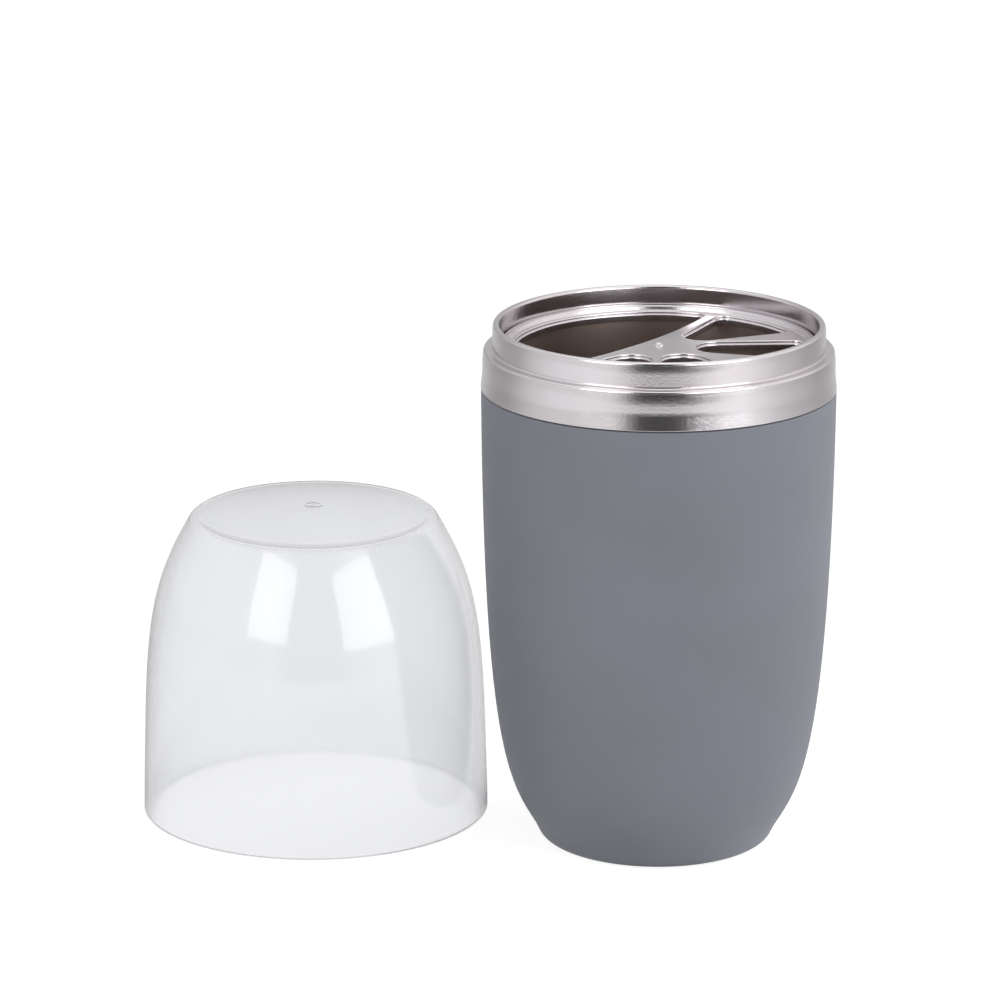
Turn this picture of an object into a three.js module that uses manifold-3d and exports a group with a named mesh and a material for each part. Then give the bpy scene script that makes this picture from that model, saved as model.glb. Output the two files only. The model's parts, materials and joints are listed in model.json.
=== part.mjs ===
// Round toothbrush holder with a loose clear lid, in millimetres, +Z up.
// The origin is the centre of the holder's foot, on the surface that the holder and its lid stand on.
// A double-walled cup carries a steel collar, a lift-out divider drops into the collar's neck,
// and the lid stands beside the holder, taken off.
import * as THREE from "three";
import { mergeVertices } from "three/addons/utils/BufferGeometryUtils.js";
import Module from "manifold-3d";

const wasm = await Module();
wasm.setup();

// Holder as a whole
const holderHeight = 135.8;
const fitGap = 0.3;

// Base pad, the non-slip disc under the foot
const padRadius = 24.5;
const padStandsOut = 0.4;
const padRecess = 0.8;

// Outer cup, the grey shell
const footRadius = 29.1;
const footRound = 3.4;
const cupTopRadius = 44.9;
const cupWall = 3.2;
const cupFloor = 2.4;
const cupFloorRound = 6;
const cupEdgeRound = 0.3;
const spigotTopRound = 0.4;

// How the cup's side swells: the two handles of its curve, the lower one from the foot and the
// upper one from the top, as shares of the side's spread and of its height
const cupCurveShares = { lowOut: 0.38, lowUp: 0.122, highIn: 0.045, highDown: 0.939 };

// Steel collar on top of the cup
const collarHeight = 16.6;
const collarLipOverhang = 0.25;
const collarLipHeight = 1.6;
const collarLipRound = 0.25;
const bandInset = 0.35;
const bandWall = 1.25;
const shoulderWidth = 2.5;
const shoulderDrop = 6.6;
const shoulderRound = 0.8;
const shoulderWall = 1.2;
const neckRootRound = 0.5;
const neckWall = 1.8;

// Inner cup, the steel liner that hangs from its flange between the cup and the collar,
// with an air space between its wall and the cup's
const airSpace = 2.35;
const linerWall = 0.8;
const linerFloorRound = 7;
const linerEdgeRound = 0.35;

// Divider, the pressed disc with five openings
const dividerDrop = 6;
const dividerSheet = 1;
const dividerFlangeRise = 1.2;
const dividerFlangeWidth = 1.6;
const dividerFlangeRound = 0.6;
const dividerFlangeFoot = 0.5;
const dividerSkirtWall = 1;
const openingMargin = 1.5;
const openingCornerRadius = 2.3;
const lipWall = 0.9;
const lipDepth = 2.4;
const hubMarkRadius = 1.4;
const hubMarkRise = 0.4;

// The divider is the same on both sides of a line through its centre. The wide opening lies on
// that line, and the others lie in pairs, turned away from the line's other end.
const mirrorLineAngle = -36.8;
const wideOpeningEdge = 5.7;
const wideOpeningSweepRadius = 150;
const largeSlotTurnAngle = 80.2;
const largeSlotHalfAngle = 20.4;
const largeSlotInnerRadius = 4.85;
const largeSlotInnerDistance = 15.9;
const smallSlotTurnAngle = 31.2;
const smallSlotHalfAngle = 8.5;
const smallSlotInnerRadius = 5.6;
const smallSlotInnerDistance = 15.3;

// Lid, the clear dome, which goes over the collar's neck with some play
const lidHeight = 81.5;
const lidPlay = 1;
const lidTopRadius = 31.5;
const lidCrown = 2;
const lidWall = 2;
const lidTopRound = 3.7;
const lidInnerTopRound = 1.8;
const lidMouthRound = 0.4;
const lidMarkRadius = 2.4;
const lidMarkWidth = 0.7;
const lidMarkRise = 0.3;

// Where the lid stands, as seen from the holder's axis, and how close to the collar's lip
const lidBearingAngle = 165.1;
const lidStandGap = 1.27;

// How the lid's side swells, from its mouth to the edge of its top
const lidCurveShares = { lowOut: 0.082, lowUp: 0.626, highIn: 0.904, highDown: 0.262 };

// How finely round shapes are cut into flat faces
const turnedFaces = 48;
const curvePoints = 9;
const crownRings = 3;
const cornerFaces = 2;
const outlineFaces = 5;
const curveHalvings = 40;
const overrun = 1;

// Heights worked out from the sizes above
const padTop = padStandsOut + padRecess - fitGap;
const cupRecessTop = padStandsOut + padRecess;
const cupFloorTop = cupRecessTop + cupFloor;
const collarFoot = holderHeight - collarHeight;
const cupTop = collarFoot - fitGap;
const shoulderTop = holderHeight - shoulderDrop;
const shoulderUnderside = shoulderTop - shoulderWall;
const flangeTop = shoulderUnderside - fitGap;
const flangeUnderside = flangeTop - linerWall;
const spigotTop = flangeUnderside - fitGap;
const dividerFace = holderHeight - dividerDrop;
const dividerUnderside = dividerFace - dividerSheet;
const dividerSkirtFoot = flangeTop + fitGap;
const dividerLipFoot = dividerFace - lipDepth;
const lidRimHeight = lidHeight - lidCrown;

// Radii worked out from the sizes above
const collarLipRadius = cupTopRadius + collarLipOverhang;
const bandRadius = cupTopRadius - bandInset;
const neckRadius = bandRadius - shoulderWidth;
const bandInnerRadius = bandRadius - bandWall;
const spigotRadius = bandInnerRadius - fitGap;
const neckInnerRadius = neckRadius - neckWall;
const dividerRadius = neckInnerRadius - fitGap;
const dividerFlangeInnerRadius = dividerRadius - dividerFlangeWidth;
const openingEdgeRadius = dividerFlangeInnerRadius - dividerFlangeFoot - openingMargin;
const linerInset = cupWall + airSpace;
const linerFloorUnderside = cupFloorTop + airSpace;
const lidMouthRadius = neckRadius + lidPlay + lidWall;
const lidDistance = collarLipRadius + lidStandGap + lidMouthRadius;

// A side's curve as radius and height, from its foot to its top
function sideCurve(foot, top, shares) {
  const spread = top.x - foot.x;
  const height = top.y - foot.y;
  return new THREE.CubicBezierCurve(
    foot,
    new THREE.Vector2(foot.x + shares.lowOut * spread, foot.y + shares.lowUp * height),
    new THREE.Vector2(top.x - shares.highIn * spread, top.y - shares.highDown * height),
    top,
  );
}

// A point of the curve, moved square to it towards the axis
function insetPoint(curve, share, inset) {
  const tangent = curve.getTangent(share);
  return curve.getPoint(share).add(new THREE.Vector2(-tangent.y, tangent.x).multiplyScalar(inset));
}

// Where the inset side reaches a height, as a share of the curve, found by halving what is left
function shareAtHeight(curve, height, inset) {
  let low = 0;
  let high = 1;
  for (let step = 0; step < curveHalvings; step++) {
    const middle = (low + high) / 2;
    if (insetPoint(curve, middle, inset).y < height) low = middle;
    else high = middle;
  }
  return (low + high) / 2;
}

// A corner of a turned section: its distance from the axis, its height and its rounding
function corner(radius, height, round = 0) {
  return { at: new THREE.Vector2(radius, height), round };
}

// The side as corners, from one height to another, closer together where it curves most
function sideCorners(curve, fromHeight, toHeight, inset, footRounding) {
  const fromShare = shareAtHeight(curve, fromHeight, inset);
  const toShare = shareAtHeight(curve, toHeight, inset);
  const corners = [];
  for (let i = 0; i <= curvePoints; i++) {
    const share = fromShare + ((toShare - fromShare) * i) / curvePoints;
    const point = insetPoint(curve, share, inset);
    corners.push(corner(point.x, point.y));
  }
  corners[0].round = footRounding;
  return corners;
}

// A corner's arc between its neighbours, no longer than half of the shorter side
function cornerArc(before, here, after) {
  const back = before.at.clone().sub(here.at);
  const ahead = after.at.clone().sub(here.at);
  const room = Math.min(back.length(), ahead.length()) / 2;
  const halfAngle = Math.abs(back.angleTo(ahead)) / 2;
  back.normalize();
  ahead.normalize();
  const tangentLength = Math.min(here.round / Math.tan(halfAngle), room);
  const start = here.at.clone().addScaledVector(back, tangentLength);
  const end = here.at.clone().addScaledVector(ahead, tangentLength);
  return new THREE.QuadraticBezierCurve(start, here.at, end).getPoints(cornerFaces);
}

// A section's outline, with an arc in place of each rounded corner
function sectionPoints(corners) {
  const points = [];
  corners.forEach((here, i) => {
    const before = corners[i - 1];
    const after = corners[i + 1];
    if (here.round > 0 && before && after) points.push(...cornerArc(before, here, after));
    else points.push(here.at.clone());
  });
  return points;
}

// A section turned round the Z axis
function turned(corners) {
  const lathe = new THREE.LatheGeometry(sectionPoints(corners), turnedFaces);
  return lathe.rotateX(Math.PI / 2);
}

// A ring's section starts and ends at the same corner
function turnedRing(corners) {
  return turned([...corners, corners[0]]);
}

function finish(color, roughness, metalness) {
  return new THREE.MeshStandardMaterial({ color, roughness, metalness });
}

function piece(name, geometry, material) {
  const mesh = new THREE.Mesh(geometry, material);
  mesh.name = name;
  return mesh;
}

// A closed geometry as a solid that can be joined and cut
function solid(geometry) {
  const bare = new THREE.BufferGeometry();
  bare.setAttribute("position", geometry.getAttribute("position"));
  bare.setIndex(geometry.getIndex());
  const merged = mergeVertices(bare);
  const vertProperties = merged.getAttribute("position").array;
  const triVerts = new Uint32Array(merged.getIndex().array);
  return new wasm.Manifold(new wasm.Mesh({ numProp: 3, vertProperties, triVerts }));
}

function geometryOf(manifold) {
  const mesh = manifold.getMesh();
  const geometry = new THREE.BufferGeometry();
  geometry.setAttribute("position", new THREE.BufferAttribute(mesh.vertProperties, mesh.numProp));
  geometry.setIndex(new THREE.BufferAttribute(mesh.triVerts, 1));
  const faceted = geometry.toNonIndexed();
  faceted.computeVertexNormals();
  return faceted;
}

const cupSide = sideCurve(
  new THREE.Vector2(footRadius, padStandsOut),
  new THREE.Vector2(cupTopRadius, cupTop),
  cupCurveShares,
);
const lidSide = sideCurve(
  new THREE.Vector2(lidMouthRadius, 0),
  new THREE.Vector2(lidTopRadius, lidRimHeight),
  lidCurveShares,
);

function basePad() {
  return turned([corner(0, 0), corner(padRadius, 0), corner(padRadius, padTop), corner(0, padTop)]);
}

function outerCup() {
  const recessRadius = padRadius + fitGap;
  const outside = sideCorners(cupSide, padStandsOut, cupTop, 0, footRound);
  const inside = sideCorners(cupSide, cupFloorTop, cupTop, cupWall, cupFloorRound).reverse();
  const spigotInnerRadius = inside[0].at.x;
  outside[outside.length - 1].round = cupEdgeRound;
  return turned([
    corner(0, cupRecessTop),
    corner(recessRadius, cupRecessTop),
    corner(recessRadius, padStandsOut),
    ...outside,
    corner(spigotRadius, cupTop),
    corner(spigotRadius, spigotTop, spigotTopRound),
    corner(spigotInnerRadius, spigotTop, spigotTopRound),
    ...inside,
    corner(0, cupFloorTop),
  ]);
}

function innerCup() {
  const floorTop = linerFloorUnderside + linerWall;
  const outside = sideCorners(cupSide, linerFloorUnderside, cupTop, linerInset, linerFloorRound);
  const insideInset = linerInset + linerWall;
  const inside = sideCorners(cupSide, floorTop, cupTop, insideInset, linerFloorRound).reverse();
  const neckOutside = outside[outside.length - 1].at.x;
  const neckInside = inside[0].at.x;
  return turned([
    corner(0, linerFloorUnderside),
    ...outside,
    corner(neckOutside, flangeUnderside),
    corner(spigotRadius, flangeUnderside),
    corner(spigotRadius, flangeTop),
    corner(neckInside, flangeTop, linerEdgeRound),
    ...inside,
    corner(0, floorTop),
  ]);
}

function collar() {
  const rimRound = neckWall / 2;
  return turnedRing([
    corner(bandInnerRadius, collarFoot),
    corner(collarLipRadius, collarFoot, collarLipRound),
    corner(bandRadius, collarFoot + collarLipHeight, collarLipRound),
    corner(bandRadius, shoulderTop, shoulderRound),
    corner(neckRadius, shoulderTop, neckRootRound),
    corner(neckRadius, holderHeight, rimRound),
    corner(neckInnerRadius, holderHeight, rimRound),
    corner(neckInnerRadius, shoulderUnderside),
    corner(bandInnerRadius, shoulderUnderside),
  ]);
}

// The divider's disc, with its raised flange and the skirt that stands on the liner's flange
function dividerDisc() {
  const skirtInnerRadius = dividerRadius - dividerSkirtWall;
  const flangeTopHeight = dividerFace + dividerFlangeRise;
  return solid(
    turned([
      corner(0, dividerUnderside),
      corner(skirtInnerRadius, dividerUnderside),
      corner(skirtInnerRadius, dividerSkirtFoot),
      corner(dividerRadius, dividerSkirtFoot),
      corner(dividerRadius, flangeTopHeight, dividerFlangeRound),
      corner(dividerFlangeInnerRadius, flangeTopHeight, dividerFlangeRound),
      corner(dividerFlangeInnerRadius - dividerFlangeFoot, dividerFace),
      corner(0, dividerFace),
    ]),
  );
}

// One arc of an opening's outline, counter-clockwise
function addArc(shape, centre, radius, fromAngle, toAngle) {
  shape.absarc(centre.x, centre.y, radius, fromAngle, toAngle, false);
}

// The wide opening, between the divider's edge and a slightly swept line past the hub.
// Grown outlines keep the centres of their arcs.
function wideOpening(grow) {
  const edgeReach = openingEdgeRadius - openingCornerRadius;
  const sweepReach = wideOpeningSweepRadius - openingCornerRadius;
  const sweepCentre = new THREE.Vector2(wideOpeningEdge + wideOpeningSweepRadius, 0);
  const along =
    (edgeReach ** 2 - sweepReach ** 2 + sweepCentre.x ** 2) / (2 * sweepCentre.x);
  const across = Math.sqrt(edgeReach ** 2 - along ** 2);
  const upper = new THREE.Vector2(along, across);
  const lower = new THREE.Vector2(along, -across);
  const edgeAngle = upper.angle();
  const sweepAngle = upper.clone().sub(sweepCentre).angle();
  const shape = new THREE.Shape();
  addArc(shape, new THREE.Vector2(), openingEdgeRadius + grow, -edgeAngle, edgeAngle);
  addArc(shape, upper, openingCornerRadius + grow, edgeAngle, sweepAngle);
  addArc(shape, sweepCentre, wideOpeningSweepRadius + grow, sweepAngle, 2 * Math.PI - sweepAngle);
  addArc(shape, lower, openingCornerRadius + grow, 2 * Math.PI - sweepAngle, 2 * Math.PI - edgeAngle);
  return shape;
}

// A slot that widens from its round inner end to the divider's edge
function slotOpening(halfDegrees, innerRadius, innerDistance, grow) {
  const halfAngle = THREE.MathUtils.degToRad(halfDegrees);
  const apex = innerDistance - innerRadius / Math.sin(halfAngle);
  const side = new THREE.Vector2(Math.cos(halfAngle), Math.sin(halfAngle));
  const inward = new THREE.Vector2(side.y, -side.x);
  const offset = new THREE.Vector2(apex, 0).addScaledVector(inward, openingCornerRadius);
  const edgeReach = openingEdgeRadius - openingCornerRadius;
  const ahead = offset.dot(side);
  const travel = Math.sqrt(ahead ** 2 - offset.lengthSq() + edgeReach ** 2) - ahead;
  const upper = offset.clone().addScaledVector(side, travel);
  const lower = new THREE.Vector2(upper.x, -upper.y);
  const inner = new THREE.Vector2(innerDistance, 0);
  const edgeAngle = upper.angle();
  const sideAngle = halfAngle + Math.PI / 2;
  const shape = new THREE.Shape();
  addArc(shape, new THREE.Vector2(), openingEdgeRadius + grow, -edgeAngle, edgeAngle);
  addArc(shape, upper, openingCornerRadius + grow, edgeAngle, sideAngle);
  addArc(shape, inner, innerRadius + grow, sideAngle, 2 * Math.PI - sideAngle);
  addArc(shape, lower, openingCornerRadius + grow, -sideAngle, -edgeAngle);
  return shape;
}

function largeSlot(grow) {
  return slotOpening(largeSlotHalfAngle, largeSlotInnerRadius, largeSlotInnerDistance, grow);
}

function smallSlot(grow) {
  return slotOpening(smallSlotHalfAngle, smallSlotInnerRadius, smallSlotInnerDistance, grow);
}

// An outline raised to a prism between two heights and turned to its place
function prism(shape, fromHeight, toHeight, degrees) {
  const depth = toHeight - fromHeight;
  const raised = new THREE.ExtrudeGeometry(shape, {
    depth,
    bevelEnabled: false,
    curveSegments: outlineFaces,
  });
  raised.translate(0, 0, fromHeight);
  raised.rotateZ(THREE.MathUtils.degToRad(degrees));
  return solid(raised);
}

// A round mark in the middle of the divider's hub
function hubMark() {
  const sunk = dividerFace - dividerSheet / 2;
  return solid(
    turned([
      corner(0, sunk),
      corner(hubMarkRadius, sunk),
      corner(hubMarkRadius, dividerFace + hubMarkRise, hubMarkRise / 2),
      corner(0, dividerFace + hubMarkRise),
    ]),
  );
}

function divider() {
  const openings = [
    { outline: wideOpening, degrees: mirrorLineAngle + 180 },
    { outline: largeSlot, degrees: mirrorLineAngle + largeSlotTurnAngle },
    { outline: largeSlot, degrees: mirrorLineAngle - largeSlotTurnAngle },
    { outline: smallSlot, degrees: mirrorLineAngle + smallSlotTurnAngle },
    { outline: smallSlot, degrees: mirrorLineAngle - smallSlotTurnAngle },
  ];
  const middle = dividerFace - dividerSheet / 2;
  let disc = dividerDisc().add(hubMark());
  for (const { outline, degrees } of openings)
    disc = disc.add(prism(outline(lipWall), dividerLipFoot, middle, degrees));
  for (const { outline, degrees } of openings)
    disc = disc.subtract(
      prism(outline(0), dividerLipFoot - overrun, dividerFace + overrun, degrees),
    );
  return geometryOf(disc);
}

// The lid's top as corners, which rise from its rim to the edge of the mark in its middle
function crownCorners(rimRadius, topHeight) {
  const corners = [];
  for (let i = 1; i <= crownRings; i++) {
    const radius = rimRadius + ((lidMarkRadius - rimRadius) * i) / crownRings;
    corners.push(corner(radius, topHeight - lidCrown * (radius / rimRadius) ** 2));
  }
  return corners;
}

// The lid stands on its mouth, and a ring-shaped mark is raised in the middle of its top
function lid() {
  const innerTop = lidHeight - lidWall;
  const outside = sideCorners(lidSide, 0, lidRimHeight, 0, lidMouthRound);
  const inside = sideCorners(lidSide, 0, lidRimHeight - lidWall, lidWall, lidMouthRound).reverse();
  const markTop = lidHeight + lidMarkRise;
  outside[outside.length - 1].round = lidTopRound;
  inside[0].round = lidInnerTopRound;
  return turned([
    corner(0, innerTop),
    ...crownCorners(inside[0].at.x, innerTop).reverse(),
    ...inside,
    ...outside,
    ...crownCorners(lidTopRadius, lidHeight),
    corner(lidMarkRadius, markTop),
    corner(lidMarkRadius - lidMarkWidth, markTop),
    corner(lidMarkRadius - lidMarkWidth, lidHeight),
    corner(0, lidHeight),
  ]);
}

const greyPlastic = finish(0x7f828a, 0.55, 0);
const darkRubber = finish(0x35373a, 0.9, 0);
const satinSteel = finish(0xb8b2ae, 0.3, 1);
const clearPlastic = finish(0xe6e7ea, 0.08, 0);

const holder = new THREE.Group();
holder.add(piece("base_pad", basePad(), darkRubber));
holder.add(piece("outer_cup", outerCup(), greyPlastic));
holder.add(piece("inner_cup", innerCup(), satinSteel));
holder.add(piece("collar", collar(), satinSteel));
holder.add(piece("divider", divider(), satinSteel));

const standingLid = piece("lid", lid(), clearPlastic);
const lidBearing = THREE.MathUtils.degToRad(lidBearingAngle);
standingLid.position.set(Math.cos(lidBearing), Math.sin(lidBearing), 0).multiplyScalar(lidDistance);

const holderWithLid = new THREE.Group();
holderWithLid.add(holder, standingLid);

export default holderWithLid;
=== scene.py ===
"""Looks of a round toothbrush holder with a loose clear lid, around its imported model.

Lengths in the tables are in millimetres, and are turned to metres where a mesh is drawn.
Each turned piece starts as one point, which is extruded from corner to corner of the piece's
section. The corners are bevelled and the section is spun round the piece's axis.
A corner is a radius, a height and, where it is rounded, the radius of its arc.
"""

import json
from math import atan2, cos, pi, radians, sin, sqrt, tan

import bpy
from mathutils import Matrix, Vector

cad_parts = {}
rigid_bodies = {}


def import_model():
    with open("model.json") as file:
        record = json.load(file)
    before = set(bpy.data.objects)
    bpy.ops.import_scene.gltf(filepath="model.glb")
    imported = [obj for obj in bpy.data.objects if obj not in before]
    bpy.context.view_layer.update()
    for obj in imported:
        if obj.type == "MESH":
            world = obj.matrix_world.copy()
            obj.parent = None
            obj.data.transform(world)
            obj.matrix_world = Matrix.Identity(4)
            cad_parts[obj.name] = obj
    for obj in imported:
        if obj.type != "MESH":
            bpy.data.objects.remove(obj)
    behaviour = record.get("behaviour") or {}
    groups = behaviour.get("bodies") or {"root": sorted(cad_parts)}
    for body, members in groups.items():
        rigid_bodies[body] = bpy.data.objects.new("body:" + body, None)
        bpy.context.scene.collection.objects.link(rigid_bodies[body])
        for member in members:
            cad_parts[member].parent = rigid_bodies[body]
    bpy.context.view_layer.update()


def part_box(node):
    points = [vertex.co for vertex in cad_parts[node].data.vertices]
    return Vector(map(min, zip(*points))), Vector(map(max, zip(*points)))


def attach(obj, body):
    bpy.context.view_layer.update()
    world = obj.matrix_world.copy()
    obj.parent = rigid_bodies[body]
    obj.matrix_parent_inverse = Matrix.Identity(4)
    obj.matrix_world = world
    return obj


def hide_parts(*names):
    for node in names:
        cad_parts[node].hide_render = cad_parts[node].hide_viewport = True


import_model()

MM = 0.001

# Fineness of the meshes, with its distances in metres
SPIN_STEPS = 256
ARC_STEP = radians(7.5)
ARC_LEAST_STEPS = 2
SIDE_STEPS = 56
HALVINGS = 40
SEED = 0.0001
PICK_REACH = 0.00001
MERGE_DISTANCE = 0.000002
SMOOTH_ANGLE = radians(32)

# Heights and radii that several pieces share
PAD_STANDS_OUT = 0.4
CUP_TOP = 118.9
CUP_TOP_RADIUS = 44.9
SPIGOT_RADIUS = 43
SHOULDER_UNDERSIDE = 128
HOLDER_HEIGHT = 135.8

# Holder's and lid's axes
HOLDER_AXIS = (0, 0)
lid_low, lid_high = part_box("lid")
LID_AXIS = ((lid_low.x + lid_high.x) / 2 / MM, (lid_low.y + lid_high.y) / 2 / MM)


# Sections

class Side:
    """The swelling side of a shell: a curve of radius and height, from its foot to its top."""

    def __init__(self, foot, top, low_out, low_up, high_in, high_down):
        spread, rise = top[0] - foot[0], top[1] - foot[1]
        self.knots = [
            Vector(foot),
            Vector((foot[0] + low_out * spread, foot[1] + low_up * rise)),
            Vector((top[0] - high_in * spread, top[1] - high_down * rise)),
            Vector(top),
        ]

    def point(self, share, inset):
        """A point of the curve, moved square to it towards the axis."""
        a, b, c, d = self.knots
        back = 1 - share
        place = a * back ** 3 + b * 3 * back ** 2 * share + c * 3 * back * share ** 2 + d * share ** 3
        along = (b - a) * back ** 2 + (c - b) * 2 * back * share + (d - c) * share ** 2
        along.normalize()
        return place + Vector((-along.y, along.x)) * inset

    def share_at(self, height, inset):
        """Where the inset side reaches a height, as a share of the curve."""
        low, high = 0, 1
        for _ in range(HALVINGS):
            middle = (low + high) / 2
            if self.point(middle, inset).y < height:
                low = middle
            else:
                high = middle
        return (low + high) / 2

    def corners(self, bottom, top, inset=0, foot_round=0, top_round=0, clear_foot=0, clear_top=0):
        """The side as corners, with room left beside a rounded end for its arc."""
        ends = [self.point(self.share_at(height, inset), inset) for height in (bottom, top)]
        first = self.share_at(bottom + clear_foot, inset)
        last = self.share_at(top - clear_top, inset)
        shares = [first + (last - first) * i / SIDE_STEPS for i in range(SIDE_STEPS + 1)]
        if not clear_foot:
            shares = shares[1:]
        if not clear_top:
            shares = shares[:-1]
        between = [tuple(self.point(share, inset)) for share in shares]
        return [(*ends[0], foot_round), *between, (*ends[1], top_round)]


def arc_steps(angle):
    """How many faces an arc of that angle gets."""
    return max(ARC_LEAST_STEPS, round(angle / ARC_STEP))


# Modelling

def deselect():
    """Selects nothing, in object mode."""
    if bpy.context.mode != "OBJECT":
        bpy.ops.object.mode_set(mode="OBJECT")
    bpy.ops.object.select_all(action="DESELECT")


def edit(piece):
    """Takes one piece to edit mode, with nothing selected in it."""
    deselect()
    bpy.context.view_layer.objects.active = piece
    piece.select_set(True)
    bpy.ops.object.mode_set(mode="EDIT")
    bpy.ops.mesh.select_mode(type="VERT")
    bpy.ops.mesh.select_all(action="DESELECT")


def add_point(place):
    """Adds one point to the mesh in hand and leaves only it selected."""
    bpy.ops.mesh.select_all(action="DESELECT")
    bpy.ops.mesh.primitive_plane_add(size=SEED, location=place)
    bpy.ops.mesh.merge(type="CENTER")


def new_piece(name):
    """An empty mesh at the origin, in edit mode: a small plane whose points are deleted."""
    deselect()
    bpy.ops.mesh.primitive_plane_add(size=SEED)
    piece = bpy.context.object
    piece.name = piece.data.name = name
    edit(piece)
    bpy.ops.mesh.select_all(action="SELECT")
    bpy.ops.mesh.delete(type="VERT")
    return piece


def extrude_by(step):
    """Extrudes the selected point by a step, and leaves the new point selected."""
    bpy.ops.mesh.extrude_vertices_move(TRANSFORM_OT_translate={"value": tuple(step)})


def pick_points(piece, wanted):
    """Selects the points for which wanted(place) is true, and goes back to edit mode."""
    bpy.ops.object.mode_set(mode="OBJECT")
    for polygon in piece.data.polygons:
        polygon.select = False
    for line in piece.data.edges:
        line.select = False
    for vertex in piece.data.vertices:
        vertex.select = wanted(vertex.co)
    bpy.ops.object.mode_set(mode="EDIT")


def bevel_corner(piece, before, here, after, radius):
    """Rounds one corner of a drawn section."""
    turn = pi - (before - here).angle(after - here)
    reach = radius * tan(turn / 2)
    pick_points(piece, lambda place: (place - here).length < PICK_REACH)
    bpy.ops.mesh.bevel(offset=reach, segments=arc_steps(turn), affect="VERTICES", profile=0.5)


def draw_section(piece, corners, axis, closed):
    """Draws a section from corner to corner, then rounds the corners that ask for it."""
    places = [Vector(((axis[0] + c[0]) * MM, axis[1] * MM, c[1] * MM)) for c in corners]
    add_point(places[0])
    for start, end in zip(places, places[1:]):
        extrude_by(end - start)
    if closed:
        ends = (places[0], places[-1])
        pick_points(piece, lambda place: min((place - end).length for end in ends) < PICK_REACH)
        bpy.ops.mesh.edge_face_add()
    for i, corner in enumerate(corners):
        if len(corner) > 2 and corner[2] > 0:
            after = places[(i + 1) % len(places)]
            bevel_corner(piece, places[i - 1], places[i], after, corner[2] * MM)


def spin_round(axis, steps=SPIN_STEPS):
    """Spins all that is drawn round an upright axis, and joins the turn to its start."""
    bpy.ops.mesh.select_all(action="SELECT")
    centre = (axis[0] * MM, axis[1] * MM, 0)
    bpy.ops.mesh.spin(steps=steps, angle=2 * pi, center=centre, axis=(0, 0, 1))
    bpy.ops.mesh.select_all(action="SELECT")
    bpy.ops.mesh.remove_doubles(threshold=MERGE_DISTANCE)


def close_up(piece):
    """Turns the faces outwards, and shades the piece smooth but for its sharp edges."""
    bpy.ops.mesh.select_all(action="SELECT")
    bpy.ops.mesh.normals_make_consistent(inside=False)
    deselect()
    piece.select_set(True)
    bpy.context.view_layer.objects.active = piece
    bpy.ops.object.shade_smooth_by_angle(angle=SMOOTH_ANGLE)
    weigh = piece.modifiers.new("even_shading", "WEIGHTED_NORMAL")
    weigh.keep_sharp = True
    bpy.ops.object.modifier_apply(modifier=weigh.name)


def turn_piece(name, corners, axis=HOLDER_AXIS, closed=False):
    """A turned piece, from its section."""
    piece = new_piece(name)
    draw_section(piece, corners, axis, closed)
    spin_round(axis)
    close_up(piece)
    return piece


# Base pad

PAD_RADIUS = 24.5
PAD_TOP = 0.9
PAD_EDGE_ROUND = 0.25
PAD_GROOVES = (6.5, 11.5, 16.5, 21.5)
PAD_GROOVE_WIDTH = 0.9
PAD_GROOVE_DEPTH = 0.3


def make_base_pad():
    """A rubber disc with four round grooves in its underside."""
    corners = [(0, 0)]
    for middle in PAD_GROOVES:
        inner, outer = middle - PAD_GROOVE_WIDTH / 2, middle + PAD_GROOVE_WIDTH / 2
        corners += [(inner, 0), (inner, PAD_GROOVE_DEPTH), (outer, PAD_GROOVE_DEPTH), (outer, 0)]
    corners += [(PAD_RADIUS, 0, PAD_EDGE_ROUND), (PAD_RADIUS, PAD_TOP, PAD_EDGE_ROUND), (0, PAD_TOP)]
    return turn_piece("base_pad_rubber", corners)


# Outer cup

FOOT_RADIUS = 29.1
FOOT_ROUND = 3.4
FOOT_CLEAR = 4.5
CUP_RECESS_RADIUS = 24.8
CUP_RECESS_TOP = 1.2
CUP_RECESS_ROUND = 0.2
CUP_WALL = 3.2
CUP_FLOOR_TOP = 3.6
CUP_FLOOR_ROUND = 6
CUP_FLOOR_CLEAR = 7
CUP_EDGE_ROUND = 0.3
CUP_EDGE_CLEAR = 0.6
SPIGOT_TOP = 126.6
SPIGOT_ROUND = 0.4

cup_side = Side(
    (FOOT_RADIUS, PAD_STANDS_OUT),
    (CUP_TOP_RADIUS, CUP_TOP),
    low_out=0.38,
    low_up=0.122,
    high_in=0.045,
    high_down=0.939,
)


def make_outer_cup():
    """The cup's shell, with a recess for the pad below and a spigot for the collar on top."""
    outside = cup_side.corners(
        PAD_STANDS_OUT, CUP_TOP, 0, FOOT_ROUND, CUP_EDGE_ROUND, FOOT_CLEAR, CUP_EDGE_CLEAR
    )
    inside = cup_side.corners(
        CUP_FLOOR_TOP, CUP_TOP, CUP_WALL, CUP_FLOOR_ROUND, 0, CUP_FLOOR_CLEAR
    )[::-1]
    return turn_piece("cup_shell", [
        (0, CUP_RECESS_TOP),
        (CUP_RECESS_RADIUS, CUP_RECESS_TOP),
        (CUP_RECESS_RADIUS, PAD_STANDS_OUT, CUP_RECESS_ROUND),
        *outside,
        (SPIGOT_RADIUS, CUP_TOP),
        (SPIGOT_RADIUS, SPIGOT_TOP, SPIGOT_ROUND),
        (inside[0][0], SPIGOT_TOP, SPIGOT_ROUND),
        *inside,
        (0, CUP_FLOOR_TOP),
    ])


# Inner cup

LINER_INSET = 5.55
LINER_WALL = 0.8
LINER_FLOOR_UNDERSIDE = 5.95
LINER_FLOOR_ROUND = 7
LINER_FLOOR_CLEAR = 8
LINER_FLANGE_TOP = 127.7
LINER_EDGE_ROUND = 0.35


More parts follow.
